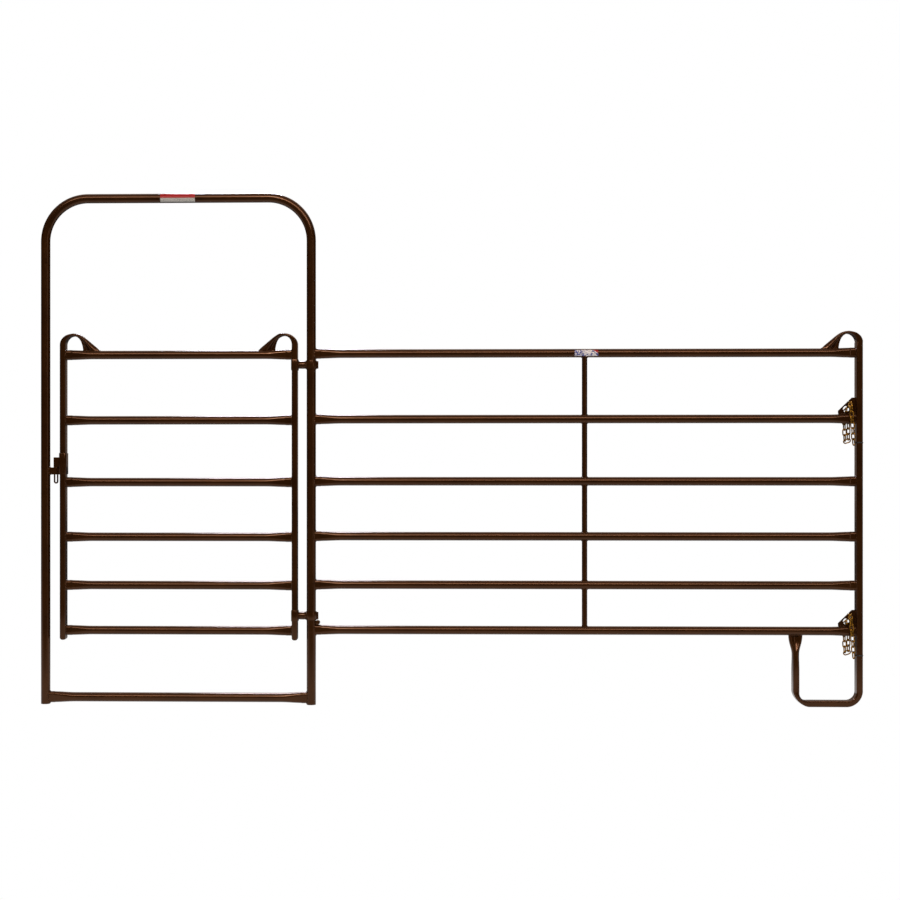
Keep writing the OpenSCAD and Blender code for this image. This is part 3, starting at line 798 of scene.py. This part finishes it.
class PANEL_OT_end_post(Builder, bpy.types.Operator):
    """End upright and skid foot, bent from one tube, with its looped top and flared foot end"""
    bl_idname = "panel.end_post"
    bl_label = "End Post and Skid Foot"

    def execute(self, context):
        tubes, weld = context.scene.panel_tubes, context.scene.panel_welds
        flat, deep = FLAT + 0.002, post_depth()
        foot_w = POST - (low("skid_foot").x + FLARE_HALF)
        rail_z = middle("panel_rail_1").z
        under = rail_z - RAIL_R
        # Pressed end of the foot under the rail: height, half width and half depth in mm, fold
        flare = ((0.010, 31, 7, 1.0), (0.0, 31, 7, 1.0), (-0.008, 30.7, 7.4, 1.0),
                 (-0.018, 29.6, 8.4, 1.0), (-0.028, 27.8, 9.8, 0.95),
                 (-0.038, 25.4, 11.8, 0.85), (-0.048, 22.6, 14.2, 0.65),
                 (-0.058, 19.8, 16.8, 0.42), (-0.068, 17.2, 19.2, 0.22), (-0.078, 15.2, 21, 0.08),
                 (-0.088, 14.4, 22.5, 0.02), (-FLARE, flat / 2 / MM, deep / MM, 0.0))
        rings = []
        for dz, a, depth, fold in flare:
            crease = (min(0.009, depth * MM * 1.35) * fold, 0.0, 0.2 + 0.62 * fold) if fold else None
            rings.append(ring_at(foot_w, under + dz, -pi / 2, a * MM, depth * MM, crease))

        def straight(x, z, heading):
            return ring_at(x, z, heading, flat / 2, deep, corner=tubes.corner)
        z_bend = FOOT_BEND + flat / 2
        leg = under - FLARE - z_bend
        rings += [straight(foot_w, z_bend + leg * k / 3, -pi / 2) for k in (2, 1, 0)]
        # The first bend, on the inner leg, is pressed in much more than the one below the post
        for centre, first, pressed in ((foot_w - FOOT_BEND, 0, 0.33), (FOOT_BEND, -90, 0.1)):
            for k in range(1, 17):
                t = radians(first - 90 * k / 16)
                dent = sin(pi * k / 16)
                thin = dent * pressed
                reach = FOOT_BEND - 0.001 * dent
                rings.append(ring_at(centre + reach * cos(t), z_bend + reach * sin(t),
                                     t - pi / 2, flat / 2 * (1 - thin), deep * (1 + 0.3 * thin),
                                     corner=tubes.corner))
            if first == 0:
                rings += [straight(FOOT_BEND + (foot_w - 2 * FOOT_BEND) * k / 5, flat / 2, -pi)
                          for k in (4, 3, 2, 1, 0)]
        top = middle("panel_rail_6").z
        rings += looped_top(z_bend, top, tubes, flat)
        piece("end_post", [loft(shared(rings, -1, POST))], "frame", nodes=["end_upright", "skid_foot"])
        beads = [tail_weld(POST, -1, top, weld, 5)]
        path = [Vector((POST - foot_w + pa, pb, rail_z - sqrt(RAIL_R ** 2 - pb ** 2)))
                for pa, pb in stadium(FLARE_HALF + 0.0005, PINCH, 96)]
        beads.append(weld_line(path, Z, weld, 3, 0.8))
        for node in ("corner_plate_upper", "corner_plate_lower"):
            lo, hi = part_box(node)
            rim = middle("panel_rail_5" if node.endswith("upper") else "panel_rail_1").z + RAIL_END
            for side in (-1, 1):
                y = side * (hi.y + 0.0004)
                line = [Vector((x, y, z)) for x, z in (
                    (lo.x + 0.002, rim - 0.0008), (hi.x - 0.004, rim),
                    (hi.x - 0.0006, rim + 0.006), (hi.x - 0.0006, hi.z - 0.003))]
                beads.append(weld_line(line + line[::-1], Vector((0, side, 0.3)), weld, 7, 0.7))
        welds("end_post_welds", beads, "frame")
        return {"FINISHED"}


def post_sleeve(node, wall, corner):
    """A sleeve round a stile, in the place and the size of its node."""
    lo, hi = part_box(node)
    x = middle(node).x

    def oval(g, z):
        return [Vector((x + pa, pb, z))
                for pa, pb in stadium((hi.x - lo.x) / 2 + g, hi.y + g, corner=corner)]
    return collar(oval, lo.z, hi.z, wall)


class PANEL_OT_hinges(Builder, bpy.types.Operator):
    """Two hinges, each a sleeve, an arm and a ring round the bow's leg, and the lug below them"""
    bl_idname = "panel.hinges"
    bl_label = "Hinges"

    def execute(self, context):
        weld = context.scene.panel_welds
        soft = context.scene.panel_tubes.corner + 0.003
        for end in ("upper", "lower"):
            sleeve, arm, ring = (f"hinge_{part}_{end}" for part in ("sleeve", "arm", "ring"))
            lo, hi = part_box(sleeve)
            x, wall = middle(sleeve).x, (hi.x - lo.x - FLAT) / 2
            piece(sleeve + "_band", [post_sleeve(sleeve, wall, soft)], "gate", nodes=[sleeve])

            # The arm is fullest halfway and drawn in at both ends, most of all by the ring
            a_lo, a_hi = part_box(arm)
            z, r = middle(arm).z, (a_hi.z - a_lo.z) / 2
            reach = a_hi.x - a_lo.x
            rings = []
            for s in (k / 24 for k in range(25)):
                swell = 1 + 0.06 * sin(pi * s)
                swell -= 0.14 * exp(-((s - 0.82) / 0.07) ** 2)
                swell -= 0.06 * exp(-((s - 0.05) / 0.05) ** 2)
                spot = a_lo.x - 0.0005 + s * (reach + 0.001)
                rings.append([Vector((spot, r * swell * cos(t), z + r * swell * sin(t)))
                              for t in turns(SIDES)])
            piece(arm + "_tube", [loft(rings)], "gate", nodes=[arm])

            # The ring's section, as distance from the leg's middle and share of its height
            r_lo, r_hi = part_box(ring)
            inner, outer = BOW_R + 0.0003, r_hi.y
            tall = r_hi.z - r_lo.z
            profile = [(inner, -0.49), (inner, 0), (inner, 0.49), (inner + 0.0012, 0.5)]
            profile += [(outer - 0.0006 + 0.0024 * cos(pi * v * 0.96), v)
                        for v in (0.49, 0.47, 0.44, 0.38, 0.3, 0.2, 0.1, 0, -0.1, -0.2, -0.3,
                                  -0.38, -0.44, -0.47, -0.49)]
            profile += [(inner + 0.0012, -0.5)]
            band = loft([[Vector((RIGHT_LEG + q * cos(t), q * sin(t), z + v * tall))
                          for q, v in profile] for t in turns(96)], closed=True)
            tab = block(Vector((RIGHT_LEG + outer - 0.001, -0.0035, r_lo.z + 0.003)),
                        Vector((r_hi.x, 0.0035, r_hi.z - 0.003)), 0.0018)
            piece(ring + "_band", [band, tab], "gate", nodes=[ring])

            path = [Vector((a_lo.x, r * cos(t), z + r * sin(t))) for t in turns(64)]
            beads = [weld_line(path, X, weld, 2, 0.8)]
            q = r * 0.97
            path = [Vector((RIGHT_LEG - sqrt(outer ** 2 - (q * cos(t)) ** 2) - 0.0006,
                            q * cos(t), z + q * sin(t))) for t in turns(64)]
            beads.append(weld_line(path, X, weld, 4, 0.8))
            half = (hi.y - wall) - (hi.x - lo.x - 2 * wall) / 2
            for height in (lo.z, hi.z):
                path = [Vector((x + pa, pb, height)) for pa, pb in
                        stadium(FLAT / 2 + 0.001, half + FLAT / 2 + 0.001, 96, soft)]
                beads.append(weld_line(path, Z, weld, 6, 0.6))
            welds(f"hinge_welds_{end}", beads, "gate")

        lo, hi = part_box("hinge_lug")
        z, r = middle("hinge_lug").z, (hi.z - lo.z) / 2
        x = hi.x - r
        rings = []
        for y, g in ((lo.y, 0.0022), (lo.y + 0.0006, 0.0008), (lo.y + 0.002, 0), (0, 0),
                     (hi.y - 0.002, 0), (hi.y - 0.0006, 0.0008), (hi.y, 0.0022)):
            rings.append([Vector((x + (r - g) * cos(t), y, z + (r - g) * sin(t)))
                          for t in turns(SIDES)])
        piece("hinge_lug_bar", [loft(rings)], "frame", nodes=["hinge_lug"])
        return {"FINISHED"}


class PANEL_OT_latch(Builder, bpy.types.Operator):
    """Latch sleeve with its tongue and eye, and the keeper on the bow's leg"""
    bl_idname = "panel.latch"
    bl_label = "Latch"

    def execute(self, context):
        weld = context.scene.panel_welds
        band = post_sleeve("latch_sleeve", 0.003, context.scene.panel_tubes.corner + 0.003)
        piece("latch_sleeve_band", [band], "latch", nodes=["latch_sleeve"])

        t_lo, t_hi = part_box("latch_tongue")
        k_lo, k_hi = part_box("latch_keeper")
        shoulder = k_hi.z + 0.0003
        head = block(Vector((t_lo.x, t_lo.y, shoulder)), t_hi, 0.0012)
        blade = block(Vector((t_lo.x, -0.004, t_lo.z)), Vector((t_hi.x, 0.004, shoulder + 0.002)))
        piece("latch_tongue_plate", [head, blade], "latch", nodes=["latch_tongue"])
        beads = []
        for side in (-1, 1):
            y = side * (t_hi.y - 0.0005)
            line = [Vector((t_hi.x + 0.0002, y, z)) for z in (shoulder + 0.003, t_hi.z - 0.002)]
            beads.append(weld_line(line + line[::-1], Vector((-0.5, side, 0)), weld, side, 0.7))
        welds("latch_welds", beads, "latch")

        # Round bar bent to a loop below the tongue
        lo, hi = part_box("latch_eye")
        r = 0.0036
        x, reach = middle("latch_eye").x, (hi.x - lo.x) / 2 - r
        top, halfway, bottom = hi.z + 0.004, (hi.z + lo.z) / 2, lo.z + r + reach
        # Down one side, half a turn round the bottom and up the other side
        run = [(pi, top), (pi, halfway)] + [(pi + pi * k / 16, bottom) for k in range(17)]
        rings = []
        for t, level in run + [(0, halfway), (0, top)]:
            out = Vector((cos(t), 0, sin(t)))
            spot = Vector((x, 0, level)) + reach * out
            rings.append([spot + r * (out * cos(v) + Vector((0, sin(v), 0))) for v in turns(16)])
        piece("latch_eye_bar", [loft(rings)], "latch", nodes=["latch_eye"])

        # The keeper's root is sunk 3 mm into the leg, and its slot is open toward the gate
        side_x = LEFT_LEG + BOW_R
        root_x, slot_x, gap = side_x - 0.003, side_x + 0.005, 0.006
        outline = [(root_x, k_lo.y), (k_hi.x, k_lo.y), (k_hi.x, -gap), (slot_x, -gap),
                   (slot_x, gap), (k_hi.x, gap), (k_hi.x, k_hi.y), (root_x, k_hi.y)]
        keeper = slab([Vector((px, py, k_lo.z)) for px, py in outline],
                      Vector((0, 0, k_hi.z - k_lo.z)), 0.0009)
        piece("latch_keeper_bracket", [keeper], "frame", nodes=["latch_keeper"])
        corners = [Vector((0, y, z)) for y, z in ((k_lo.y, k_lo.z), (k_hi.y, k_lo.z),
                                                  (k_hi.y, k_hi.z), (k_lo.y, k_hi.z))]
        path = on_leg(dense(corners), LEFT_LEG, 1, BOW_R)
        welds("keeper_welds", [bead(path, X, weld.bead * 0.95, weld.pitch, 8)], "frame")
        return {"FINISHED"}


class PANEL_OT_chains(Builder, bpy.types.Operator):
    """Corner plates, connecting chains and the ties at their feet"""
    bl_idname = "panel.chains"
    bl_label = "Plates and Chains"

    def execute(self, context):
        dress(["corner_plate_upper", "corner_plate_lower"], "brown_powder_coat")
        dress(["chain_upper", "chain_lower", "chain_tail_upper", "chain_tail_lower"],
              "yellow_passivated_zinc")
        soft = context.scene.panel_tubes.corner
        for node in ("chain_tie_upper", "chain_tie_lower"):
            lo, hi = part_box(node)
            z, tall = middle(node).z, 0.0044
            rings = []
            inner = stadium(FLAT / 2 + 0.0011, post_depth() + 0.0001, 96, soft)
            outer = stadium(FLAT / 2 + 0.0024, post_depth() + 0.0014, 96, soft + 0.0013)
            for (ax, ay), (bx, by) in zip(inner, outer):
                rim_x, rim_y = ax * 0.3 + bx * 0.7, ay * 0.3 + by * 0.7
                rings.append([Vector((POST + px, py, z + v * tall)) for px, py, v in (
                    (ax, ay, -0.45), (ax, ay, 0.45), (rim_x, rim_y, 0.5),
                    (bx, by, 0.36), (bx, by, -0.36), (rim_x, rim_y, -0.5))])
            head = block(Vector((lo.x, -0.0065, z - 0.0034)),
                         Vector((lo.x + 0.0048, 0.0012, z + 0.0034)), 0.0009)
            # The loose end, 4 mm wide, leaves the head toward the front
            loose = slab([Vector((lo.x + px, -0.0060, z + pz)) for px, pz in (
                (0.0012, -0.0020), (0.0024, -0.0020), (0.0024, 0.0020), (0.0012, 0.0020))],
                Vector((-0.004, -0.013, -0.003)), 0.0004)
            piece(node + "_band", [loft(rings, closed=True), head, loose], "frame",
                  "black_nylon", [node])
        return {"FINISHED"}


class PANEL_OT_labels(Builder, bpy.types.Operator):
    """Two plain labels, with nothing on them to read"""
    bl_idname = "panel.labels"
    bl_label = "Labels"

    def execute(self, context):
        dress(["bow_label"], "red_and_grey_vinyl")
        dress(["rail_label"], "white_and_blue_vinyl")
        return {"FINISHED"}


class PANEL_OT_studio(Builder, bpy.types.Operator):
    """Pale floor, soft lights and the camera"""
    bl_idname = "panel.studio"
    bl_label = "Studio"

    def execute(self, context):
        scene, studio = context.scene, context.scene.panel_studio
        lo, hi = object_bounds()
        centre = (lo + hi) / 2

        bm = bmesh.new()
        bmesh.ops.create_grid(bm, x_segments=1, y_segments=1, size=40)
        mesh = bpy.data.meshes.new("floor")
        bm.to_mesh(mesh)
        bm.free()
        floor = bpy.data.objects.new("floor", mesh)
        floor.location = (centre.x, centre.y, lo.z - 0.0005)
        scene.collection.objects.link(floor)
        floor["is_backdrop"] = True
        # Matt white studio floor: plain white to look at; as a source of light it is bright only
        # beneath the section
        material, tree = new_material("white_studio_floor")
        axes = add_node(tree, "SeparateXYZ", links={
            "Vector": add_node(tree, "TexCoord").outputs["Object"]})
        away = add_node(tree, "Math", {"operation": "ABSOLUTE"}, {0: axes.outputs["Y"]})
        glow = add_node(tree, "MapRange",
                        {"From Min": 0.7, "From Max": 2.4, "To Min": studio.floor, "To Max": 0.06},
                        {"Value": away.outputs[0]})
        ray = add_node(tree, "LightPath")
        strength = add_node(tree, "Mix", {"data_type": "FLOAT", 3: 1.0}, {
            0: ray.outputs["Is Camera Ray"], 2: glow.outputs[0]})
        finish_material(tree, add_node(tree, "Emission", {"Color": (1, 1, 1, 1)},
                                       {"Strength": strength.outputs[0]}))
        mesh.materials.append(material)

        world = bpy.data.worlds.new("studio")
        world.use_nodes = True
        tree = world.node_tree
        tree.nodes.clear()
        # Seen directly the room is plain white; as a source of light it is dim at eye level and
        # bright overhead
        place = add_node(tree, "TexCoord").outputs["Generated"]
        axes = add_node(tree, "SeparateXYZ", links={"Vector": place})
        above = add_node(
            tree, "MapRange",
            {"From Min": 0.3, "From Max": 0.95, "To Min": 0.02, "To Max": studio.ceiling},
            {"Value": axes.outputs["Z"]})
        behind = add_node(
            tree, "MapRange", {"From Min": 0.75, "From Max": 0.97, "To Max": studio.back},
            {"Value": axes.outputs["Y"]})
        level = add_node(tree, "Math", {"operation": "ADD"},
                         {0: above.outputs[0], 1: behind.outputs[0]})
        room = add_node(tree, "Background", {"Color": linear("ffe9da")},
                        {"Strength": level.outputs[0]})
        seen = add_node(tree, "Background", {"Color": (1, 1, 1, 1), "Strength": 1.0})
        ray = add_node(tree, "LightPath")
        both = add_node(tree, "MixShader", links={
            0: ray.outputs["Is Camera Ray"], 1: room.outputs[0], 2: seen.outputs[0]})
        add_node(tree, "OutputWorld", links={"Surface": both.outputs[0]})
        scene.world = world

        for name, place, size, power, tint in (
                ("front_light", (0.0, -6.4, 5.7), (9.0, 2.2), studio.key, "fff0e2"),
                ("back_light", (0.0, 5.7, 6.8), (9.0, 4.9), studio.key * 0.3, "fff0e2"),
                ("window_light", (-1.2, 2.7, 4.6), (1.3, 0.7), studio.side * 6, "dfe8ff"),
                ("spark_light", (-1.1, -4.6, 4.4), (0.5, 0.5), studio.side * 1.2, "fff6ee"),
                ("side_light", (6.6, -5.6, 1.8), (1.6, 4.0), studio.side, "fff4ec")):
            data = bpy.data.lights.new(name, "AREA")
            data.shape, data.size, data.size_y, data.energy = "RECTANGLE", size[0], size[1], power
            data.color = linear(tint)[:3]
            light = bpy.data.objects.new(name, data)
            light.location = Vector(place) + Vector((centre.x, centre.y, 0))
            # Every light faces the middle of the section, 1.1 m up
            aim = Vector((0, 0, 1.1)) - Vector(place)
            light.rotation_euler = aim.to_track_quat("-Z", "Y").to_euler()
            scene.collection.objects.link(light)

        data = bpy.data.cameras.new("camera")
        data.sensor_width = 36.0
        data.lens = studio.focal
        data.shift_x, data.shift_y = 0.05, 0.02677
        camera = bpy.data.objects.new("camera", data)
        camera.location = (centre.x - 0.0098, -studio.distance, studio.height)
        camera.rotation_euler = (pi / 2, 0, studio.turn)
        scene.collection.objects.link(camera)
        scene.camera = camera
        scene.view_settings.view_transform = "Standard"
        return {"FINISHED"}


OPERATORS = (PANEL_OT_bow, PANEL_OT_panel_rails, PANEL_OT_gate, PANEL_OT_end_post, PANEL_OT_hinges,
             PANEL_OT_latch, PANEL_OT_chains, PANEL_OT_labels, PANEL_OT_studio)
SETTINGS = (("panel_tubes", TubeSettings), ("panel_welds", WeldSettings), ("panel_coat", CoatSettings),
            ("panel_fittings", FittingSettings), ("panel_studio", StudioSettings))


class PANEL_PT_sidebar(bpy.types.Panel):
    """Settings and pieces of the panel section"""
    bl_idname = "PANEL_PT_sidebar"
    bl_label = "Livestock Panel Gate"
    bl_space_type = "VIEW_3D"
    bl_region_type = "UI"
    bl_category = "Panel Gate"

    def draw(self, context):
        for key, kind in SETTINGS:
            box = self.layout.box()
            for prop in kind.__annotations__:
                box.prop(getattr(context.scene, key), prop)
        for operator in OPERATORS:
            self.layout.operator(operator.bl_idname)


def register():
    for key, kind in SETTINGS:
        bpy.utils.register_class(kind)
        setattr(bpy.types.Scene, key, bpy.props.PointerProperty(type=kind))
    for kind in OPERATORS + (PANEL_PT_sidebar,):
        bpy.utils.register_class(kind)


def unregister():
    for kind in (PANEL_PT_sidebar,) + OPERATORS[::-1]:
        bpy.utils.unregister_class(kind)
    for key, kind in SETTINGS[::-1]:
        delattr(bpy.types.Scene, key)
        bpy.utils.unregister_class(kind)


def main():
    register()
    for operator in OPERATORS:
        group, action = operator.bl_idname.split(".")
        getattr(getattr(bpy.ops, group), action)()


if __name__ == "__main__":
    main()
